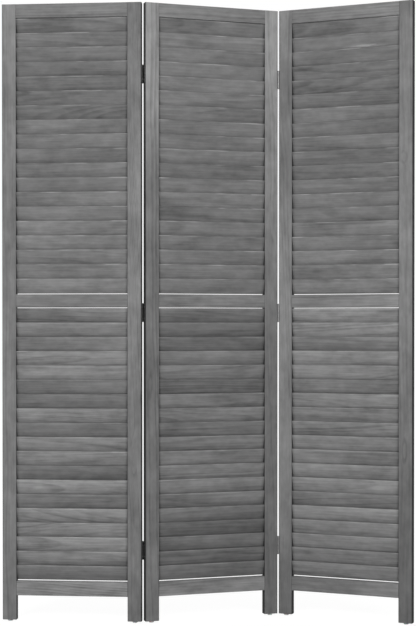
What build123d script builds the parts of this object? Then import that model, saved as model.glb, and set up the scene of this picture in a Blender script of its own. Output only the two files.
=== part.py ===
from build123d import *
import math
import os

# A folding room divider: three louvred wooden panels joined by butt hinges.
# The file has its own frame, in millimetres: X runs along the screen, Y from its
# front to its back, Z up. The origin is on the floor, under the middle of the
# whole screen as it stands half folded.

# Panel
WOOD_HEIGHT = 1697.0
PANEL_WIDTH = 387.0
PANEL_THICKNESS = 20.0
STILE_WIDTH = 39.0
ARRIS_RADIUS = 1.5
STILE_END_CHAMFER = 0.6

# Rails, with their heights above the feet of the wooden legs
TOP_RAIL_HEIGHT = 38.0
MID_RAIL_HEIGHT = 36.5
MID_RAIL_CENTRE = 881.0
BOTTOM_RAIL_HEIGHT = 39.5
LEG_LENGTH = 67.5

# Louvre slats: fixed, leaning with their top edge to the front
SLAT_WIDTH = 42.5
SLAT_THICKNESS = 6.0
SLAT_EDGE_RADIUS = 2.2
SLAT_TILT = 16.0
SLAT_LEAST_OVERLAP = 1.4
UPPER_BANK_TOP_GAP = 1.0
UPPER_BANK_BOTTOM_GAP = 2.0
LOWER_BANK_TOP_GAP = 1.6
LOWER_BANK_BOTTOM_GAP = 2.9
SLOT_DEPTH = 6.0
SLOT_CLEARANCE = 0.1
SLAT_END_CLEARANCE = 0.5

# Dowels in the rail joints
DOWEL_DIAMETER = 8.0
DOWEL_LENGTH = 36.0
DOWEL_SPACING = 18.0
DOWEL_CHAMFER = 1.0
DOWEL_CLEARANCE = 0.05
DOWEL_END_CLEARANCE = 0.8

# Hinges: three butt hinges to a joint, their leaves on the edges of the stiles
HINGE_LENGTH = 50.0
HINGE_END_DISTANCE = 193.5
EDGE_GAP = 2.6
BARREL_DIAMETER = 4.0
BARREL_PROUD = 1.1
LEAF_THICKNESS = 1.0
LEAF_REACH = 16.0
LEAF_CORNER_RADIUS = 1.5
KNUCKLE_COUNT = 5
KNUCKLE_GAP = 0.3
KNUCKLE_SWEEP_CLEARANCE = 0.4
PIN_DIAMETER = 2.0
PIN_CLEARANCE = 0.05
PIN_HEAD_DIAMETER = 3.4
PIN_HEAD_HEIGHT = 1.0
PIN_HEAD_ROUNDING = 0.5

# Wood screws, two to a leaf
SCREW_SHANK_DIAMETER = 2.8
SCREW_HEAD_DIAMETER = 5.0
SCREW_HEAD_DEPTH = 1.4
SCREW_LENGTH = 14.0
SCREW_TIP_LENGTH = 3.0
SCREW_TIP_DIAMETER = 0.4
SCREW_SPACING = 32.0
SCREW_FROM_FREE_EDGE = 5.2
SCREW_CLEARANCE = 0.05
RECESS_SPAN = 2.6
RECESS_WIDTH = 0.7
RECESS_DEPTH = 0.9

# Nail-on glides, one under each leg
GLIDE_DIAMETER = 14.0
GLIDE_HEIGHT = 4.5
GLIDE_ROUNDING = 3.0
NAIL_DIAMETER = 1.8
NAIL_HEAD_DIAMETER = 6.0
NAIL_HEAD_HEIGHT = 1.0
NAIL_HEAD_LIFT = 1.6
NAIL_IN_WOOD = 13.0
NAIL_TIP_LENGTH = 2.0
NAIL_TIP_DIAMETER = 0.3
NAIL_CLEARANCE = 0.05

# Stance: the middle panel's turn in plan, and the bend of each joint from straight
MIDDLE_YAW = 18.2
LEFT_FOLD = 23.2
RIGHT_FOLD = 41.0
PAST_STRAIGHT = 1.0
FULL_FOLD = 180.0

PARTS_FOLDER = "parts"

# Worked out from the values above
WOOD_FOOT = GLIDE_HEIGHT
WOOD_TOP = WOOD_FOOT + WOOD_HEIGHT
CLEAR_WIDTH = PANEL_WIDTH - 2 * STILE_WIDTH
MID_PLANE = PANEL_THICKNESS / 2
AXIS_SETOUT = EDGE_GAP / 2
KNUCKLE_PITCH = (HINGE_LENGTH + KNUCKLE_GAP) / KNUCKLE_COUNT
HINGE_HEIGHTS = {
    "lower": WOOD_FOOT + HINGE_END_DISTANCE,
    "middle": WOOD_FOOT + WOOD_HEIGHT / 2,
    "upper": WOOD_TOP - HINGE_END_DISTANCE,
}
RAILS = {
    "top_rail": (WOOD_TOP - TOP_RAIL_HEIGHT, TOP_RAIL_HEIGHT),
    "mid_rail": (WOOD_FOOT + MID_RAIL_CENTRE - MID_RAIL_HEIGHT / 2, MID_RAIL_HEIGHT),
    "bottom_rail": (WOOD_FOOT + LEG_LENGTH, BOTTOM_RAIL_HEIGHT),
}
ON_BASE = (Align.CENTER, Align.CENTER, Align.MIN)

# Which side of the joint a leaf is on, and which face of the screen its barrel is on
LEFT_OF_AXIS, RIGHT_OF_AXIS = -1, 1
FRONT, BACK = -1, 1


def rail_span(rail):
    """Bottom and top of a rail."""
    bottom, height = RAILS[rail]
    return bottom, bottom + height


# Slats

def slat_rise():
    """Height of a slat's section as it leans."""
    tilt = math.radians(SLAT_TILT)
    straight = (SLAT_WIDTH - 2 * SLAT_EDGE_RADIUS) * math.cos(tilt)
    straight += (SLAT_THICKNESS - 2 * SLAT_EDGE_RADIUS) * math.sin(tilt)
    return straight + 2 * SLAT_EDGE_RADIUS


def bank_centres(lower_rail, upper_rail, bottom_gap, top_gap):
    """Heights of the slats' centre lines between two rails, evenly spaced."""
    lowest = rail_span(lower_rail)[1] + bottom_gap + slat_rise() / 2
    highest = rail_span(upper_rail)[0] - top_gap - slat_rise() / 2
    widest_pitch = slat_rise() - SLAT_LEAST_OVERLAP
    steps = math.ceil((highest - lowest) / widest_pitch)
    return [lowest + (highest - lowest) * i / steps for i in range(steps + 1)]


def slat_section(grow=0.0):
    """Section of a slat, or of its slot when it is grown by a clearance."""
    section = RectangleRounded(SLAT_WIDTH + 2 * grow, SLAT_THICKNESS + 2 * grow,
                               SLAT_EDGE_RADIUS + grow)
    return Plane.YZ * Rot(0, 0, 90 + SLAT_TILT) * section


def slat(centre_height):
    """One slat, with its ends let into the stiles."""
    tongue = SLOT_DEPTH - SLAT_END_CLEARANCE
    bar = extrude(slat_section(), CLEAR_WIDTH + 2 * tongue)
    return Pos(STILE_WIDTH - tongue, MID_PLANE, centre_height) * bar


def slot(centre_height, inner_face, into_stile):
    """Slot for a slat's end, sunk from a stile's inner face."""
    sunk = extrude(slat_section(SLOT_CLEARANCE), SLOT_DEPTH)
    start = inner_face if into_stile > 0 else inner_face - SLOT_DEPTH
    return Pos(start, MID_PLANE, centre_height) * sunk


# Frame members

def stile_blank():
    """A stile with eased long edges and ends."""
    section = RectangleRounded(STILE_WIDTH, PANEL_THICKNESS, ARRIS_RADIUS,
                               align=(Align.MIN, Align.MIN))
    bar = Pos(0, 0, WOOD_FOOT) * extrude(section, WOOD_HEIGHT)
    ends = bar.faces().filter_by(Axis.Z).edges()
    return chamfer(ends, STILE_END_CHAMFER)


def rail_bar(rail):
    """A rail with eased long edges, between the stiles."""
    bottom, height = RAILS[rail]
    section = Plane.YZ * RectangleRounded(PANEL_THICKNESS, height, ARRIS_RADIUS)
    bar = extrude(section, CLEAR_WIDTH)
    return Pos(STILE_WIDTH, MID_PLANE, bottom + height / 2) * bar


def dowel_places(rail):
    """Centres of the dowels at a rail's two ends."""
    centre = sum(rail_span(rail)) / 2
    heights = (centre - DOWEL_SPACING / 2, centre + DOWEL_SPACING / 2)
    joints = (STILE_WIDTH, PANEL_WIDTH - STILE_WIDTH)
    return [Pos(x, MID_PLANE, z) for x in joints for z in heights]


def dowel():
    """A plain dowel along X, centred on its joint."""
    peg = Cylinder(DOWEL_DIAMETER / 2, DOWEL_LENGTH)
    return Rot(0, 90, 0) * chamfer(peg.edges().filter_by(GeomType.CIRCLE), DOWEL_CHAMFER)


def dowel_hole():
    """The space that a dowel needs in the stile and the rail."""
    depth = DOWEL_LENGTH + 2 * DOWEL_END_CLEARANCE
    return Rot(0, 90, 0) * Cylinder(DOWEL_DIAMETER / 2 + DOWEL_CLEARANCE, depth)


# Screws and nails

def turned(points):
    """A solid of revolution about Z from half a section in XZ."""
    half = make_face(Polyline(*[(x, 0, z) for x, z in points], close=True))
    return revolve(half, Axis.Z)


def screw_body(grow=0.0):
    """A countersunk screw pointing along -Z, its head flush with Z = 0."""
    shank = SCREW_SHANK_DIAMETER / 2 + grow
    head = SCREW_HEAD_DIAMETER / 2 + grow
    tip = SCREW_TIP_DIAMETER / 2 + grow
    depth = SCREW_LENGTH + grow
    outline = [
        (0, 0), (head, 0), (shank, -SCREW_HEAD_DEPTH),
        (shank, SCREW_TIP_LENGTH - depth), (tip, -depth), (0, -depth),
    ]
    return turned(outline)


def screw():
    """A screw with its cross recess."""
    slot_box = Box(RECESS_SPAN, RECESS_WIDTH, 2 * RECESS_DEPTH)
    return screw_body() - slot_box - Rot(0, 0, 90) * slot_box


def nail_body(grow=0.0):
    """A glide's nail pointing along +Z, with its head at the bottom."""
    shank = NAIL_DIAMETER / 2 + grow
    head = NAIL_HEAD_DIAMETER / 2 + grow
    tip = NAIL_TIP_DIAMETER / 2 + grow
    head_bottom = NAIL_HEAD_LIFT - grow
    head_top = NAIL_HEAD_LIFT + NAIL_HEAD_HEIGHT + grow
    top = WOOD_FOOT + NAIL_IN_WOOD + grow
    outline = [
        (0, head_bottom), (head, head_bottom), (head, head_top), (shank, head_top),
        (shank, top - NAIL_TIP_LENGTH), (tip, top), (0, top),
    ]
    return turned(outline)


def glide():
    """A nylon glide, domed below with a flat that stands on the floor."""
    button = Cylinder(GLIDE_DIAMETER / 2, GLIDE_HEIGHT, align=ON_BASE)
    rim = button.edges().filter_by(GeomType.CIRCLE).sort_by(Axis.Z)[0]
    return fillet(rim, GLIDE_ROUNDING) - nail_body(NAIL_CLEARANCE)


def leg_places():
    """Centres of the two legs, on the floor."""
    return [Pos(x, MID_PLANE, 0) for x in (STILE_WIDTH / 2, PANEL_WIDTH - STILE_WIDTH / 2)]


# Hinges, each modelled about its own axis with its middle at Z = 0

def knuckle_cylinders(radius, odd, grow=0.0):
    """Solid cylinders over every other knuckle, counted from the bottom."""
    rings = []
    for i in range(KNUCKLE_COUNT):
        if (i % 2 == 1) == odd:
            bottom = i * KNUCKLE_PITCH - HINGE_LENGTH / 2 - grow
            height = KNUCKLE_PITCH - KNUCKLE_GAP + 2 * grow
            rings.append(Pos(0, 0, bottom) * Cylinder(radius, height, align=ON_BASE))
    return rings


def screw_points(side, face):
    """Places of a leaf's screws, each turned so that its tip goes into the stile."""
    x = side * (AXIS_SETOUT - LEAF_THICKNESS)
    y = -face * (LEAF_REACH - SCREW_FROM_FREE_EDGE)
    heights = (-SCREW_SPACING / 2, SCREW_SPACING / 2)
    return [Pos(x, y, z) * Rot(0, -side * 90, 0) for z in heights]


def leaf(side, face, odd):
    """A leaf: a plate flat on the stile's edge, rolled into its knuckles.

    The plate runs from the axis towards the other face of the screen.
    """
    plate = Box(LEAF_THICKNESS, LEAF_REACH, HINGE_LENGTH)
    plate = Pos(side * (AXIS_SETOUT - LEAF_THICKNESS / 2), -face * LEAF_REACH / 2, 0) * plate
    free_edge = plate.edges().filter_by(Axis.X).sort_by(Axis.Y)
    corners = free_edge[:2] if face == BACK else free_edge[-2:]
    plate = fillet(corners, LEAF_CORNER_RADIUS)
    sweep = BARREL_DIAMETER / 2 + KNUCKLE_SWEEP_CLEARANCE
    for space in knuckle_cylinders(sweep, not odd, KNUCKLE_GAP):
        plate -= space
    for ring in knuckle_cylinders(BARREL_DIAMETER / 2, odd):
        plate += ring
    plate -= Cylinder(PIN_DIAMETER / 2 + PIN_CLEARANCE, HINGE_LENGTH + 1)
    for place in screw_points(side, face):
        plate -= place * screw_body(SCREW_CLEARANCE)
    return plate


def pin():
    """A hinge pin with a domed head at each end."""
    shank = Cylinder(PIN_DIAMETER / 2, HINGE_LENGTH)
    head = Cylinder(PIN_HEAD_DIAMETER / 2, PIN_HEAD_HEIGHT, align=ON_BASE)
    rim = head.edges().filter_by(GeomType.CIRCLE).sort_by(Axis.Z)[-1]
    top_head = Pos(0, 0, HINGE_LENGTH / 2) * fillet(rim, PIN_HEAD_ROUNDING)
    return shank + top_head + mirror(top_head, Plane.XY)


# Each joint's place on a panel, and how its hinges lie there

def axis_place(edge, face):
    """Plan position of a joint's axis in the frame of one panel."""
    x = PANEL_WIDTH + AXIS_SETOUT if edge == "right" else -AXIS_SETOUT
    y = PANEL_THICKNESS + BARREL_PROUD if face == BACK else -BARREL_PROUD
    return x, y


PANEL_JOINTS = {
    "left": {"right": BACK},
    "middle": {"left": BACK, "right": FRONT},
    "right": {"left": FRONT},
}
JOINT_OF_EDGE = {
    ("left", "right"): "left_joint",
    ("middle", "left"): "left_joint",
    ("middle", "right"): "right_joint",
    ("right", "left"): "right_joint",
}


def make_panel(panel):
    """One panel's pieces in its own frame, by node name."""
    banks = {
        "upper": bank_centres("mid_rail", "top_rail", UPPER_BANK_BOTTOM_GAP, UPPER_BANK_TOP_GAP),
        "lower": bank_centres("bottom_rail", "mid_rail", LOWER_BANK_BOTTOM_GAP, LOWER_BANK_TOP_GAP),
    }
    heights = banks["upper"] + banks["lower"]
    dowels = {rail: dowel_places(rail) for rail in RAILS}
    holes = [place * dowel_hole() for places in dowels.values() for place in places]
    nail_holes = [place * nail_body(NAIL_CLEARANCE) for place in leg_places()]
    edge_holes = {"left": [], "right": []}
    nodes = {}

    for edge, face in PANEL_JOINTS[panel].items():
        side = LEFT_OF_AXIS if edge == "right" else RIGHT_OF_AXIS
        joint = JOINT_OF_EDGE[panel, edge]
        screws = []
        for level, height in HINGE_HEIGHTS.items():
            place = Pos(*axis_place(edge, face), height)
            odd = side == RIGHT_OF_AXIS
            which = "left" if side == LEFT_OF_AXIS else "right"
            nodes[f"{joint}_{level}_hinge_{which}_leaf"] = [place * leaf(side, face, odd)]
            if not odd:
                nodes[f"{joint}_{level}_hinge_pin"] = [place * pin()]
            for point in screw_points(side, face):
                screws.append(place * point * screw())
                edge_holes[edge].append(place * point * screw_body(SCREW_CLEARANCE))
        nodes[f"{panel}_panel_{joint}_screws"] = screws

    for edge in ("left", "right"):
        is_left = edge == "left"
        inner_face = STILE_WIDTH if is_left else PANEL_WIDTH - STILE_WIDTH
        blank = stile_blank() if is_left else Pos(PANEL_WIDTH - STILE_WIDTH, 0, 0) * stile_blank()
        cuts = [slot(z, inner_face, -1 if is_left else 1) for z in heights]
        nodes[f"{panel}_panel_{edge}_stile"] = [blank - (cuts + holes + nail_holes + edge_holes[edge])]

    for rail in RAILS:
        nodes[f"{panel}_panel_{rail}"] = [rail_bar(rail) - holes]
    for bank, centres in banks.items():
        nodes[f"{panel}_panel_{bank}_slats"] = [slat(z) for z in centres]
    nodes[f"{panel}_panel_dowels"] = [place * dowel() for places in dowels.values() for place in places]
    nodes[f"{panel}_panel_left_glide"] = [leg_places()[0] * glide()]
    nodes[f"{panel}_panel_right_glide"] = [leg_places()[1] * glide()]
    nodes[f"{panel}_panel_glide_nails"] = [place * nail_body() for place in leg_places()]
    return nodes


# Plan: the middle panel first, then its neighbours about their hinge axes

def panel_location(yaw, own_point, plan_point):
    """Location that turns a panel by yaw and puts its own point on a point in plan."""
    turn = math.radians(yaw)
    x, y = own_point
    turned_x = x * math.cos(turn) - y * math.sin(turn)
    turned_y = x * math.sin(turn) + y * math.cos(turn)
    return Pos(plan_point[0] - turned_x, plan_point[1] - turned_y, 0) * Rot(0, 0, yaw)


def plan_of(location, own_point):
    """Where a panel's own point comes to lie in plan."""
    moved = location * Pos(*own_point, 0)
    return moved.position.X, moved.position.Y


def build():
    """All nodes in the screen's frame, and the two joint axes."""
    middle = panel_location(MIDDLE_YAW, (0, 0), (0, 0))
    left_axis = plan_of(middle, axis_place("left", BACK))
    right_axis = plan_of(middle, axis_place("right", FRONT))
    places = {
        "left": panel_location(MIDDLE_YAW - LEFT_FOLD, axis_place("right", BACK), left_axis),
        "middle": middle,
        "right": panel_location(MIDDLE_YAW - RIGHT_FOLD, axis_place("left", FRONT), right_axis),
    }
    nodes = {}
    for panel, place in places.items():
        for name, solids in make_panel(panel).items():
            nodes[name] = [place * solid for solid in solids]

    box = Compound([solid for solids in nodes.values() for solid in solids]).bounding_box()
    centre = Pos(-box.center().X, -box.center().Y, 0)
    nodes = {name: [centre * solid for solid in solids] for name, solids in nodes.items()}
    axes = {
        "left_joint": (left_axis[0] - box.center().X, left_axis[1] - box.center().Y),
        "right_joint": (right_axis[0] - box.center().X, right_axis[1] - box.center().Y),
    }
    return nodes, axes, {panel: centre * place for panel, place in places.items()}


def write(nodes):
    os.makedirs(PARTS_FOLDER, exist_ok=True)
    for name, solids in nodes.items():
        shape = solids[0] if len(solids) == 1 else Compound(children=solids)
        export_step(shape, os.path.join(PARTS_FOLDER, name + ".step"))


def report(nodes, axes, places):
    """Print what the record needs: the size, the axes, their ranges and the feet."""
    box = Compound([solid for solids in nodes.values() for solid in solids]).bounding_box()
    print("nodes", len(nodes))
    print("size", [round(v, 2) for v in (box.size.X, box.size.Y, box.size.Z)])
    for joint, fold in (("left_joint", LEFT_FOLD), ("right_joint", RIGHT_FOLD)):
        x, y = axes[joint]
        low, high = -fold - PAST_STRAIGHT, FULL_FOLD - fold
        print(joint, "axis at", round(x, 3), round(y, 3), "range", round(low, 2), round(high, 2))
    for panel, place in places.items():
        for foot in leg_places():
            spot = (place * foot).position
            print(panel, "foot at", round(spot.X, 2), round(spot.Y, 2))


nodes, axes, places = build()
write(nodes)
report(nodes, axes, places)
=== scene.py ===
import bpy
import math
from mathutils import Matrix, Vector


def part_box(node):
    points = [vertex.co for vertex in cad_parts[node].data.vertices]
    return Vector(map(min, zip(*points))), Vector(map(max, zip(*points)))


# The looks of a folding louvred screen: grey-washed wood, steel hinges and nylon glides.
# Everything is in metres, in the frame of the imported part.

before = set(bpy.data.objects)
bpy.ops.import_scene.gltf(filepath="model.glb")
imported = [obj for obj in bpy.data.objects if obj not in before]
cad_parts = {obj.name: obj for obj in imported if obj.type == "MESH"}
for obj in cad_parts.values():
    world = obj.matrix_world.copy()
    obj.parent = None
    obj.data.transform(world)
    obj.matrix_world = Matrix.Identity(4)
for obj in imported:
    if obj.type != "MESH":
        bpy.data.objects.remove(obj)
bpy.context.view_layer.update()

# The part's boards. Its nodes are named by panel and by these words.
PANELS = ("left", "middle", "right")
SIDES = ("left", "right")
RAILS = ("top", "mid", "bottom")
BANKS = ("upper", "lower")
PANEL_WIDTH = 0.387
STILE_WIDTH = 0.039
SLATS_IN_BANK = 19
SLAT_WIDTH = 0.0425
SLAT_THICKNESS = 0.006
SLAT_EDGE_RADIUS = 0.0022
SLAT_TILT = math.radians(16.0)

PANEL_HALF_WIDTH = PANEL_WIDTH / 2
OPENING_HALF_WIDTH = PANEL_HALF_WIDTH - STILE_WIDTH
SLAT_LOW = -SLAT_WIDTH / 2
SLAT_HIGH = SLAT_WIDTH / 2
SLAT_RISE = ((SLAT_WIDTH - 2 * SLAT_EDGE_RADIUS) * math.cos(SLAT_TILT)
             + (SLAT_THICKNESS - 2 * SLAT_EDGE_RADIUS) * math.sin(SLAT_TILT)
             + 2 * SLAT_EDGE_RADIUS)

# The photograph's camera, fitted to the panels' corners
CAMERA_PLACE = (0.002, -4.1919, 0.8172)
CAMERA_PITCH = math.radians(-0.675)
CAMERA_LENS = 86.866
SENSOR = 36.0
IMAGE_HEIGHT = 626
PRINCIPAL_Y = 343.44

# Growth rings, about a pith that lies behind the board and runs a little askew
RING_SPACING = (0.0045, 0.011)
RING_DARKENS = (0.1, 0.8)
RING_ENDS = (0.82, 1.0)
RING_BIAS = 1.8
RING_TONE = -0.26
PITH_BEHIND = (0.02, 0.1)
PITH_ASIDE = 0.045
PITH_SLANT = 0.06
PITH_BOW = 0.07
WANDER = 0.011
WANDER_ALONG, WANDER_ACROSS = 3.0, 6.0

# Marks drawn out along the grain: how often they change along and across a board, per metre,
# their detail and roughness, and how far they move the tone
FIBRE = {"rates": (26.0, 900.0), "detail": 2.0, "roughness": 0.6, "tone": 0.06}
STREAK = {"rates": (7.0, 190.0), "detail": 2.0, "roughness": 0.6, "tone": 0.14}
CLOUD = {"rates": (24.0, 50.0), "detail": 3.0, "roughness": 0.55, "tone": 0.14}
PATCH = {"rates": (4.0, 12.0), "detail": 1.0, "roughness": 0.5, "tone": 0.15}
NOISE_LOW, NOISE_HIGH = 0.3, 0.7
SMOOTH_DETAIL = 1.0

# Tone and surface of the wood
WOOD_GREY = 0.205
MEAN_TONE = 1.03
LEAST_TONE = 0.3
BOARD_TONE = 0.05
WOOD_ROUGHNESS = (0.8, 0.68)
RING_ROUGHNESS = -0.05
WOOD_SPECULAR = 0.15
FIBRE_HEIGHT, RING_HEIGHT = 0.6, 0.5
WOOD_BUMP = {"Strength": 0.35, "Distance": 0.0004}
STILE_STREAKS = 0.55

# Painted shade that darkens the boards' side faces and a band along their outer edges, and how much
# rougher the wood is there
PAINTED_EDGE_SHADE = 0.25
PAINTED_EDGE_BAND = 0.0028
EDGE_ROUGHER = 0.3
OUTER_EDGE_STARTS = 0.0003
INNER_EDGE_STARTS, INNER_EDGE_BAND = 0.0001, 0.001

# How the tone runs up a board or a panel's slats: heights, and the tone at each. It is partly stain
# and partly painted light and shade, following how much light reaches each height.
STAIN_AND_PAINTED_LIGHT_RUN = {
    "left_panel_left_stile": ((0.55, 1.0), (0.7, 0.93), (1.2, 0.95), (1.65, 1.08)),
    "left_panel_right_stile": ((0.45, 0.95), (0.7, 1.1), (1.15, 1.06), (1.35, 0.94)),
    "middle_panel_left_stile": ((0.6, 0.9), (0.85, 0.8), (1.14, 0.86), (1.62, 1.5)),
    "middle_panel_right_stile": ((0.5, 0.82), (1.65, 1.4)),
    "right_panel_left_stile": ((0.1, 0.78), (0.35, 1.05), (1.1, 1.1), (1.3, 0.8), (1.5, 0.83),
                               (1.63, 1.1)),
    "right_panel_right_stile": ((0.1, 0.68), (0.9, 1.08), (1.1, 1.08), (1.5, 0.95)),
    "left_panel_bottom_rail": ((0.0, 1.4),),
    "middle_panel_bottom_rail": ((0.0, 1.2),),
    "left_panel_slats": ((0.2, 1.14), (0.72, 1.05), (0.78, 0.84), (0.87, 0.84), (0.92, 1.0),
                         (1.6, 0.86)),
    "middle_panel_slats": ((0.17, 0.76), (0.45, 1.12), (0.78, 0.82), (0.95, 0.93)),
    "right_panel_slats": ((0.25, 1.0), (0.45, 1.24), (0.8, 1.14), (1.2, 0.91)),
}
PLAIN_RUN = ((0.0, 1.0),)

# Figures round small knots in a board: height, place across the panel, half length, half width,
# how far the rings swell, and the tone of the ring round the knot
KNOTS = {
    "left_panel_left_stile": ((1.02, -0.171, 0.06, 0.008, 0.014, 1.0),),
    "left_panel_right_stile": ((0.455, 0.169, 0.055, 0.008, 0.024, 0.95),),
    "middle_panel_left_stile": ((0.66, -0.176, 0.05, 0.009, 0.016, 1.0),),
    "middle_panel_right_stile": ((1.12, 0.176, 0.07, 0.008, 0.014, 1.0),),
    "right_panel_left_stile": ((0.71, -0.174, 0.04, 0.008, 0.014, 1.0),),
    "right_panel_right_stile": ((1.277, 0.167, 0.015, 0.010, 0.012, 0.89),
                                (0.475, 0.171, 0.03, 0.006, 0.024, 0.82)),
}
# Squares of the distance from a knot, in its half sizes, over which its ring starts and ends
KNOT_RING_STARTS = (0.3, 0.9)
KNOT_RING_ENDS = (1.0, 2.0)

# How far the slats of a bank differ in tone
SLAT_SPREAD = {
    "left": {"upper": 0.12, "lower": 0.27},
    "middle": {"upper": 0.11, "lower": 0.15},
    "right": {"upper": 0.08, "lower": 0.2},
}
# For each bank: range of the painted shade on the low edges (above 1 it is painted light), painted
# shade across a slat from low to high, how light the painted highlight on a top edge is, and how
# strong the streaks are
BANK_LOOK = {
    "upper": {"low_edge_shade": (0.72, 1.6), "shade_slope": (0.96, 1.03), "rubbed": 0.7, "streaks": 0.8},
    "lower": {"low_edge_shade": (0.36, 0.9), "shade_slope": (0.84, 1.1), "rubbed": 0.25, "streaks": 1.0},
}
# Painted shade: a band at each slat's low edge, where it tucks behind the next slat, and at its ends
# by the stiles
LOW_EDGE_SHADE_BAND = 0.005
SLAT_END_SHADE_BAND = 0.009
SLAT_END_SHADE = 0.7

# Painted highlights on the slats' top edges, where light catches them: how often they change along a
# slat, per metre, the noise over which they come in, and how far below a slat's top they start and
# are full
TOP_HIGHLIGHT_RATE = 14.0
TOP_HIGHLIGHT_FROM = (0.48, 0.66)
TOP_HIGHLIGHT_BAND = (0.0028, 0.0008)

# Scuffs on slats: height, place across the panel, half length, half height and how much lighter
SCUFFS = {"right_panel_upper_slats": ((1.5885, 0.0526, 0.05, 0.0035, 1.1),)}
# How often their scratches change along and up a slat, per metre, and the noise over which
# they come in
SCUFF_RATES = (60.0, 500.0)
SCUFF_FROM = (0.25, 0.5)

# Each board has a seed for its random draws, and a second draw adds a number to it
FIRST_SEED = 1.0
BOARD_SEED_STEP = 5.3
BANK_SEED_STEP = 31.9
ROW_SEED_STEP = 1.37
SECOND_GRAIN_DRAW = 11.7
SLAT_DRAW = 5.9
SHIFT_PER_SEED = 3.1

# Steel: grey and roughness of each kind, and what all share
# The left joint's hinges are a darker copy of the right joint's steel: painted shade for the shade in
# the left joint's gap
SHADED_LEFT_HINGE_STEEL = (0.12, 0.45)
RIGHT_HINGE_STEEL = (0.26, 0.5)
PIN_STEEL = (0.3, 0.4)
SCREW_STEEL = (0.55, 0.32)
TARNISH = {"detail": 3.0, "roughness": 0.55, "scale": 160.0}
TARNISH_TONE = (0.8, 1.1)
TARNISH_ROUGHNESS = (0.08, -0.05)
RUB_SCALE = (900.0, 900.0, 90.0)
STEEL_BUMP = {"Strength": 0.15, "Distance": 0.0001}

# Nylon of the glides
NYLON_SCALE = 220.0
NYLON_GREY = (0.62, 0.7)
NYLON_ROUGHNESS = (0.4, 0.5)
NYLON_BUMP = {"Strength": 0.2, "Distance": 0.0002}
NYLON_DEPTH = {"Subsurface Weight": 0.3, "Subsurface Scale": 0.004}

# Floor and world. What the camera sees of the floor is part white glow and part lit surface, so
# that a shadow shows; both numbers pass from the near value to the far one over FLOOR_BLEND.
FLOOR_SIZE = 40.0
FLOOR_GREY = 0.8
FLOOR_GLOW_SHARE = (0.8, 1.0)
FLOOR_GLOW_STRENGTH = (1.13, 1.0)
FLOOR_BLEND = (1.2, 4.5)
WORLD_LIGHT = 0.13
WHITE = (1, 1, 1, 1)

# Soft lamps: place, what each points at, power in watts, and whether it shows in reflections
LAMP_SIZE = 1.6
LAMPS = {
    "key": ((-1.5, -3.7, 2.6), (0, 0, 1.0), 86.0, True),
    "fill": ((1.7, -3.8, 2.2), (0, 0, 0.95), 58.0, True),
    "back_left": ((-2.2, 3.4, 2.4), (0, 0, 0.95), 52.0, False),
    "back_right": ((2.2, 3.4, 2.4), (0, 0, 0.95), 52.0, False),
}


# Camera

def make_camera():
    data = bpy.data.cameras.new("camera")
    data.sensor_width = SENSOR
    data.lens = CAMERA_LENS
    data.shift_y = (PRINCIPAL_Y - IMAGE_HEIGHT / 2) / IMAGE_HEIGHT
    camera = bpy.data.objects.new("camera", data)
    camera.location = CAMERA_PLACE
    camera.rotation_euler = (math.pi / 2 + CAMERA_PITCH, 0, 0)
    bpy.context.scene.collection.objects.link(camera)
    bpy.context.scene.camera = camera


# Building node trees

class Tree:
    """A node tree, and short ways to add to it."""

    def __init__(self, tree):
        self.tree = tree
        self.tree.nodes.clear()

    def add(self, kind, inputs=None, **settings):
        node = self.tree.nodes.new(kind)
        for name, value in settings.items():
            setattr(node, name, value)
        for key, value in (inputs or {}).items():
            self.put(node.inputs[key], value)
        return node

    def put(self, socket, value):
        if isinstance(value, bpy.types.NodeSocket):
            self.tree.links.new(value, socket)
        else:
            socket.default_value = value

    def math(self, operation, *values, clamp=False):
        node = self.add("ShaderNodeMath", operation=operation, use_clamp=clamp)
        for socket, value in zip(node.inputs, values):
            self.put(socket, value)
        return node.outputs[0]

    def total(self, first, *others):
        for value in others:
            first = self.math("ADD", first, value)
        return first

    def product(self, first, *others):
        for value in others:
            first = self.math("MULTIPLY", first, value)
        return first

    def map_range(self, value, low, high, to_low, to_high, smooth=False):
        kind = "SMOOTHSTEP" if smooth else "LINEAR"
        node = self.add("ShaderNodeMapRange", interpolation_type=kind)
        for socket, number in zip(node.inputs, (value, low, high, to_low, to_high)):
            self.put(socket, number)
        return node.outputs[0]

    def from_noise(self, noise, low, high):
        """Noise, which mostly keeps near its middle, spread from low to high."""
        return self.map_range(noise, NOISE_LOW, NOISE_HIGH, low, high)

    def split(self, vector):
        return self.add("ShaderNodeSeparateXYZ", {0: vector}).outputs

    def join(self, x, y, z):
        return self.add("ShaderNodeCombineXYZ", {0: x, 1: y, 2: z}).outputs[0]

    def grey(self, value):
        return self.add("ShaderNodeCombineColor", {0: value, 1: value, 2: value}).outputs[0]

    def own_place(self):
        return self.add("ShaderNodeTexCoord").outputs["Object"]

    def noise(self, vector, detail=2.0, roughness=0.5, scale=1.0):
        values = {"Vector": vector, "Scale": scale, "Detail": detail, "Roughness": roughness}
        return self.add("ShaderNodeTexNoise", values).outputs["Fac"]

    def random(self, number):
        """Three random numbers from one."""
        node = self.add("ShaderNodeTexWhiteNoise", {"W": number}, noise_dimensions="1D")
        return self.add("ShaderNodeSeparateColor", {0: node.outputs["Color"]}).outputs

    def bump(self, height, settings):
        return self.add("ShaderNodeBump", {"Height": height, **settings}).outputs[0]

    def finish(self, shader):
        self.add("ShaderNodeOutputMaterial", {"Surface": shader.outputs[0]})


def material(name):
    made = bpy.data.materials.new(name)
    made.use_nodes = True
    return made, Tree(made.node_tree)


def dress(node, made):
    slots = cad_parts[node].data.materials
    for i in range(len(slots)):
        slots[i] = made


# Wood

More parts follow.
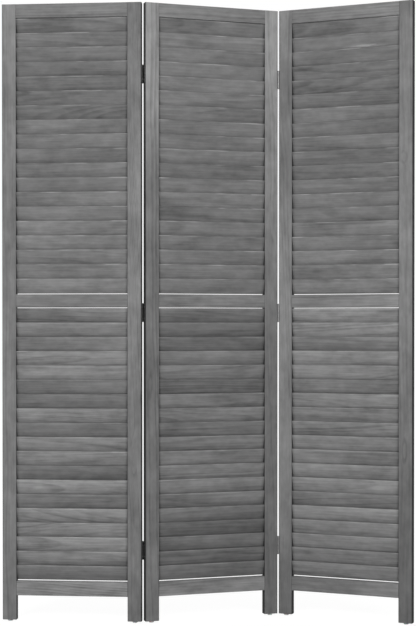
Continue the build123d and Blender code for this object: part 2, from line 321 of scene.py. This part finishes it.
def growth_rings(tree, place, shift, swell, draws):
    """How dark the late wood of a growth ring is at a place, from 0 to 1."""
    along, across, into = place
    aside_draw, bow_draw = draws
    behind = tree.map_range(aside_draw[0], 0, 1, *PITH_BEHIND)
    aside = tree.map_range(aside_draw[1], 0, 1, -PITH_ASIDE, PITH_ASIDE)
    slant = tree.map_range(aside_draw[2], 0, 1, -PITH_SLANT, PITH_SLANT)
    bow = tree.map_range(bow_draw[0], 0, 1, -PITH_BOW, PITH_BOW)
    wander = tree.noise(tree.join(tree.product(along, WANDER_ALONG), shift,
                                  tree.product(across, WANDER_ACROSS)), SMOOTH_DETAIL)
    wander = tree.map_range(wander, 0, 1, -WANDER, WANDER)
    off_across = tree.total(tree.math("SUBTRACT", across, aside), tree.product(along, slant))
    off_into = tree.total(into, behind, tree.product(along, bow))
    radius = tree.math("SQRT", tree.total(tree.math("POWER", off_across, 2.0),
                                          tree.math("POWER", off_into, 2.0)))
    radius = tree.total(radius, wander, swell)
    spacing = tree.map_range(bow_draw[1], 0, 1, *RING_SPACING)
    count = tree.total(tree.math("DIVIDE", radius, spacing), shift)
    part = tree.math("FRACT", count)
    darkens = tree.map_range(part, *RING_DARKENS, 0, 1, smooth=True)
    ends = tree.map_range(part, *RING_ENDS, 1, 0, smooth=True)
    depth = tree.math("POWER", tree.random(tree.math("FLOOR", count))[0], RING_BIAS)
    return tree.product(darkens, ends, depth)


def grain_noise(tree, place, shift, marks):
    """Noise drawn out along the grain."""
    along, across, into = place
    along_rate, across_rate = marks["rates"]
    at = tree.join(tree.product(along, along_rate), tree.product(across, across_rate),
                   tree.total(tree.product(into, across_rate), shift))
    return tree.noise(at, marks["detail"], marks["roughness"])


def wood_group():
    """Grain of one board. Place is along, across and into the board, and Seed picks the board.
    Swell pushes the rings out, and Streaks is how strong the streaks are."""
    group = bpy.data.node_groups.new("wood_grain", "ShaderNodeTree")
    tree = Tree(group)
    group.interface.new_socket("Place", in_out="INPUT", socket_type="NodeSocketVector")
    for name in ("Seed", "Swell", "Streaks"):
        group.interface.new_socket(name, in_out="INPUT", socket_type="NodeSocketFloat")
    for name in ("Tone", "Rough", "Height"):
        group.interface.new_socket(name, in_out="OUTPUT", socket_type="NodeSocketFloat")
    given = tree.add("NodeGroupInput").outputs
    seed = given["Seed"]
    place = tree.split(given["Place"])
    first_draw = tree.random(seed)
    second_draw = tree.random(tree.total(seed, SECOND_GRAIN_DRAW))
    shift = tree.product(seed, SHIFT_PER_SEED)

    ring = growth_rings(tree, place, shift, given["Swell"], (first_draw, second_draw))
    fibre, streak, cloud, patch = (grain_noise(tree, place, shift, marks)
                                   for marks in (FIBRE, STREAK, CLOUD, PATCH))
    streak_tone = tree.from_noise(streak, -STREAK["tone"], STREAK["tone"])
    tone = tree.total(
        tree.map_range(ring, 0, 1, 0, RING_TONE),
        tree.from_noise(fibre, -FIBRE["tone"], FIBRE["tone"]),
        tree.product(streak_tone, given["Streaks"]),
        tree.from_noise(cloud, -CLOUD["tone"], CLOUD["tone"]),
        tree.from_noise(patch, -PATCH["tone"], PATCH["tone"]),
        tree.map_range(second_draw[2], 0, 1, -BOARD_TONE, BOARD_TONE),
        MEAN_TONE)
    rough = tree.total(tree.from_noise(fibre, *WOOD_ROUGHNESS), tree.product(ring, RING_ROUGHNESS))
    height = tree.total(tree.product(fibre, FIBRE_HEIGHT), tree.product(ring, RING_HEIGHT))
    tree.add("NodeGroupOutput", {"Tone": tree.math("MAXIMUM", tone, LEAST_TONE),
                                 "Rough": rough, "Height": height})
    return group


def centre_of(node):
    low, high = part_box(node)
    return (low + high) / 2


def panel_frame(panel):
    """A panel's turn in plan, and its foot's middle after the panel is turned straight."""
    left, right = (centre_of(f"{panel}_panel_{side}_glide") for side in SIDES)
    yaw = math.atan2(right.y - left.y, right.x - left.x)
    middle = (left + right) / 2
    turn = Matrix.Rotation(-yaw, 3, "Z")
    return yaw, turn @ Vector((middle.x, middle.y, 0))


def panel_coordinates(tree, panel):
    """A place in the panel's own frame, from its foot's middle: across it, through it and up."""
    yaw, offset = panel_frame(panel)
    values = {"Vector": tree.own_place(), "Location": -offset, "Rotation": (0, 0, -yaw)}
    mapping = tree.add("ShaderNodeMapping", values, vector_type="POINT")
    return tree.split(mapping.outputs[0])


def stain_and_painted_light_run(tree, node, z):
    """Tone at a height, partly stain and partly painted light and shade. It eases from the tone at
    each height given to the next one's.
    """
    stops = STAIN_AND_PAINTED_LIGHT_RUN.get(node, PLAIN_RUN)
    tone = stops[0][1]
    for (z_low, low), (z_high, high) in zip(stops, stops[1:]):
        tone = tree.total(tree.map_range(z, z_low, z_high, 0, high - low, smooth=True), tone)
    return tone


def far_squared(tree, place, middle, half_sizes):
    """Square of the distance from a mark's middle, counted in its own half sizes."""
    squares = []
    for at, centre, half in zip(place, middle, half_sizes):
        part = tree.math("DIVIDE", tree.math("SUBTRACT", at, centre), half)
        squares.append(tree.product(part, part))
    return tree.total(*squares)


def knots(tree, node, along, across):
    """How far a board's rings swell, and its tone, at and round its knots."""
    swell, tone = 0.0, 1.0
    for height, aside, half_length, half_width, push, rim in KNOTS.get(node, ()):
        far = far_squared(tree, (along, across), (height, aside), (half_length, half_width))
        near = tree.math("EXPONENT", tree.product(far, -1.0))
        swell = tree.total(tree.product(near, push), swell)
        into_rim = tree.map_range(far, *KNOT_RING_STARTS, 1, rim, smooth=True)
        out_of_rim = tree.map_range(far, *KNOT_RING_ENDS, 1, 1 / rim, smooth=True)
        tone = tree.product(into_rim, out_of_rim, tone)
    return swell, tone


def wood_shader(tree, grain, place, seed, shade, edge=1.0, swell=0.0, streaks=1.0):
    values = {"Place": place, "Seed": seed, "Swell": swell, "Streaks": streaks}
    board = tree.add("ShaderNodeGroup", node_tree=grain)
    for name, value in values.items():
        tree.put(board.inputs[name], value)
    rougher = tree.map_range(edge, PAINTED_EDGE_SHADE, 1, EDGE_ROUGHER, 0)
    tree.finish(tree.add("ShaderNodeBsdfPrincipled", {
        "Base Color": tree.grey(tree.product(board.outputs["Tone"], WOOD_GREY, shade)),
        "Roughness": tree.total(board.outputs["Rough"], rougher),
        "Specular IOR Level": WOOD_SPECULAR,
        "Normal": tree.bump(board.outputs["Height"], WOOD_BUMP)}))


def board_material(name, grain, panel, upright, seed):
    """Wood of a stile, whose grain is upright, or of a rail."""
    made, tree = material(name)
    x, y, z = panel_coordinates(tree, panel)
    place = tree.join(z, x, y) if upright else tree.join(x, z, y)
    # Painted shade: the side faces and a band along the panel's outer edges are darkened, and on
    # stiles the inner side faces too
    side = tree.math("ABSOLUTE", x)
    outer = tree.map_range(side, PANEL_HALF_WIDTH - PAINTED_EDGE_BAND, PANEL_HALF_WIDTH - OUTER_EDGE_STARTS,
                           1, PAINTED_EDGE_SHADE, smooth=True)
    inner = tree.map_range(side, OPENING_HALF_WIDTH + INNER_EDGE_STARTS,
                           OPENING_HALF_WIDTH + INNER_EDGE_BAND, PAINTED_EDGE_SHADE if upright else 1, 1)
    edge = tree.product(outer, inner)
    swell, tone = knots(tree, name, z, x)
    shade = tree.product(edge, stain_and_painted_light_run(tree, name, z), tone)
    streaks = STILE_STREAKS if upright else 1.0
    wood_shader(tree, grain, place, seed, shade, edge, swell, streaks)
    return made


def bank_rows(panel, bank):
    """Height of the lowest slat's middle, and the pitch."""
    low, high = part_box(f"{panel}_panel_{bank}_slats")
    pitch = (high.z - low.z - SLAT_RISE) / (SLATS_IN_BANK - 1)
    return low.z + SLAT_RISE / 2, pitch


def slat_shade(tree, x, across, draw, panel, bank):
    """Painted shade low on a slat and at its ends, a painted highlight along its top edge in places,
    and the slat's own tone.
    """
    look = BANK_LOOK[bank]
    spread = SLAT_SPREAD[panel][bank]
    low_edge_shade_tone = tree.map_range(draw[1], 0, 1, *look["low_edge_shade"])
    low = tree.map_range(across, SLAT_LOW, SLAT_LOW + LOW_EDGE_SHADE_BAND, low_edge_shade_tone, 1, smooth=True)
    shade_slope = tree.map_range(across, SLAT_LOW, SLAT_HIGH, *look["shade_slope"])
    end = tree.map_range(tree.math("ABSOLUTE", x), OPENING_HALF_WIDTH - SLAT_END_SHADE_BAND,
                         OPENING_HALF_WIDTH, 1, SLAT_END_SHADE, smooth=True)
    own = tree.map_range(draw[0], 0, 1, 1 - spread, 1 + spread)
    # Painted highlight: parts of each slat's top edge are made lighter
    painted_top_highlight = tree.noise(tree.join(tree.product(x, TOP_HIGHLIGHT_RATE), draw[1], draw[2]), SMOOTH_DETAIL)
    painted_top_highlight = tree.map_range(painted_top_highlight, *TOP_HIGHLIGHT_FROM, 0, look["rubbed"], smooth=True)
    band_low, band_high = (SLAT_HIGH - depth for depth in TOP_HIGHLIGHT_BAND)
    highlight_band = tree.map_range(across, band_low, band_high, 0, 1, smooth=True)
    rubbed = tree.total(tree.product(painted_top_highlight, highlight_band), 1.0)
    return tree.product(low, shade_slope, end, own, rubbed)


def scuffs(tree, node, x, z):
    """How light a slat is where it was scraped."""
    light = 1.0
    for height, aside, half_length, half_height, lighter in SCUFFS.get(node, ()):
        far = far_squared(tree, (z, x), (height, aside), (half_height, half_length))
        near = tree.math("EXPONENT", tree.product(far, -1.0))
        run_rate, rise_rate = SCUFF_RATES
        scraped = tree.noise(tree.join(tree.product(x, run_rate), tree.product(z, rise_rate), 0.0))
        scraped = tree.map_range(scraped, *SCUFF_FROM, 0, lighter)
        light = tree.total(tree.product(near, scraped), light)
    return light


def slat_material(name, grain, panel, bank, seed):
    """Wood of a bank of slats, each a board of its own that leans forwards."""
    made, tree = material(name)
    x, y, z = panel_coordinates(tree, panel)
    lowest, pitch = bank_rows(panel, bank)
    # Rows are told apart along 45 degrees, so that no slat's top edge counts as the next one's
    step = tree.math("DIVIDE", tree.math("SUBTRACT", tree.total(z, y), lowest), pitch)
    row = tree.math("FLOOR", tree.total(step, 0.5))
    rise = tree.math("SUBTRACT", z, tree.math("MULTIPLY_ADD", row, pitch, lowest))
    lean, level = math.sin(SLAT_TILT), math.cos(SLAT_TILT)
    across = tree.math("SUBTRACT", tree.product(rise, level), tree.product(y, lean))
    into = tree.total(tree.product(rise, lean), tree.product(y, level))
    slat_seed = tree.total(tree.product(row, ROW_SEED_STEP), seed)
    draw = tree.random(tree.total(slat_seed, SLAT_DRAW))
    shade = tree.product(slat_shade(tree, x, across, draw, panel, bank),
                         stain_and_painted_light_run(tree, f"{panel}_panel_slats", z), scuffs(tree, name, x, z))
    place = tree.join(x, across, into)
    wood_shader(tree, grain, place, slat_seed, shade, streaks=BANK_LOOK[bank]["streaks"])
    return made


def dress_wood():
    grain = wood_group()
    seed = FIRST_SEED
    for panel in PANELS:
        for side in SIDES:
            node = f"{panel}_panel_{side}_stile"
            dress(node, board_material(node, grain, panel, True, seed))
            seed += BOARD_SEED_STEP
        for rail in RAILS:
            node = f"{panel}_panel_{rail}_rail"
            dress(node, board_material(node, grain, panel, False, seed))
            seed += BOARD_SEED_STEP
        for bank in BANKS:
            node = f"{panel}_panel_{bank}_slats"
            dress(node, slat_material(node, grain, panel, bank, seed))
            seed += BANK_SEED_STEP
        node = f"{panel}_panel_dowels"
        dress(node, board_material(node, grain, panel, False, seed))


# Steel and nylon

def steel_material(name, grey, roughness):
    """Plated steel, with fine rubbed marks and a little tarnish."""
    made, tree = material(name)
    own = tree.own_place()
    tarnish = tree.noise(own, **TARNISH)
    drawn_out = tree.add("ShaderNodeVectorMath", {0: own, 1: RUB_SCALE}, operation="MULTIPLY")
    rubbed = tree.noise(drawn_out.outputs[0])
    tone = tree.product(tree.from_noise(tarnish, *TARNISH_TONE), grey)
    rough = tree.total(tree.from_noise(tarnish, *TARNISH_ROUGHNESS), roughness)
    tree.finish(tree.add("ShaderNodeBsdfPrincipled", {
        "Base Color": tree.grey(tone), "Metallic": 1.0, "Roughness": rough,
        "Normal": tree.bump(rubbed, STEEL_BUMP)}))
    return made


def nylon_material():
    made, tree = material("glide_nylon")
    cloud = tree.noise(tree.own_place(), scale=NYLON_SCALE)
    tree.finish(tree.add("ShaderNodeBsdfPrincipled", {
        "Base Color": tree.grey(tree.from_noise(cloud, *NYLON_GREY)),
        "Roughness": tree.from_noise(cloud, *NYLON_ROUGHNESS),
        "Normal": tree.bump(cloud, NYLON_BUMP), **NYLON_DEPTH}))
    return made


def dress_fittings():
    # The left hinges get the darker, shaded copy of the steel, which is painted shade
    hinge = {"left": steel_material("left_hinge_steel_painted_shade", *SHADED_LEFT_HINGE_STEEL),
             "right": steel_material("right_hinge_steel", *RIGHT_HINGE_STEEL)}
    pin = steel_material("pin_steel", *PIN_STEEL)
    screw = steel_material("screw_steel", *SCREW_STEEL)
    nylon = nylon_material()
    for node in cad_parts:
        if node.endswith("_leaf"):
            dress(node, hinge[node.split("_")[0]])
        elif node.endswith("_pin"):
            dress(node, pin)
        elif node.endswith(("_screws", "_nails")):
            dress(node, screw)
        elif node.endswith("_glide"):
            dress(node, nylon)


# Setting and light

def seen_directly(tree):
    """1 for what the camera sees, also by reflection or through glass, and 0 for light."""
    path = tree.add("ShaderNodeLightPath").outputs
    shown = tree.total(path["Is Camera Ray"], path["Is Glossy Ray"])
    return tree.math("ADD", shown, path["Is Transmission Ray"], clamp=True)


def floor_material():
    made, tree = material("floor")
    seen = seen_directly(tree)
    colour = tree.grey(tree.map_range(seen, 0, 1, FLOOR_GREY, 1.0))
    matt = tree.add("ShaderNodeBsdfDiffuse", {"Color": colour})
    away = tree.add("ShaderNodeVectorMath", {0: tree.own_place()}, operation="LENGTH")
    share, strength = (tree.map_range(away.outputs["Value"], *FLOOR_BLEND, *near_and_far, smooth=True)
                       for near_and_far in (FLOOR_GLOW_SHARE, FLOOR_GLOW_STRENGTH))
    white = tree.add("ShaderNodeEmission", {"Color": WHITE, "Strength": strength})
    tree.finish(tree.add("ShaderNodeMixShader", {
        0: tree.product(seen, share), 1: matt.outputs[0], 2: white.outputs[0]}))
    return made


def make_floor():
    mesh = bpy.data.meshes.new("floor")
    half = FLOOR_SIZE / 2
    corners = [(-half, -half, 0), (half, -half, 0), (half, half, 0), (-half, half, 0)]
    mesh.from_pydata(corners, [], [(0, 1, 2, 3)])
    mesh.materials.append(floor_material())
    floor = bpy.data.objects.new("floor", mesh)
    bpy.context.scene.collection.objects.link(floor)


def make_world():
    world = bpy.data.worlds.new("world")
    bpy.context.scene.world = world
    world.use_nodes = True
    tree = Tree(world.node_tree)
    light = tree.add("ShaderNodeBackground", {"Color": WHITE, "Strength": WORLD_LIGHT})
    white = tree.add("ShaderNodeBackground", {"Color": WHITE, "Strength": 1.0})
    both = tree.add("ShaderNodeMixShader", {
        0: seen_directly(tree), 1: light.outputs[0], 2: white.outputs[0]})
    tree.add("ShaderNodeOutputWorld", {"Surface": both.outputs[0]})


def make_lamp(name, place, target, power, in_reflections):
    data = bpy.data.lights.new(name, "AREA")
    data.shape = "SQUARE"
    data.size = LAMP_SIZE
    data.energy = power
    lamp = bpy.data.objects.new(name, data)
    lamp.location = place
    aim = Vector(target) - Vector(place)
    lamp.rotation_euler = aim.to_track_quat("-Z", "Y").to_euler()
    lamp.visible_camera = False
    lamp.visible_glossy = in_reflections
    bpy.context.scene.collection.objects.link(lamp)


make_camera()
dress_wood()
dress_fittings()
make_floor()
make_world()
for name, settings in LAMPS.items():
    make_lamp(name, *settings)

bpy.context.scene.view_settings.view_transform = "Standard"
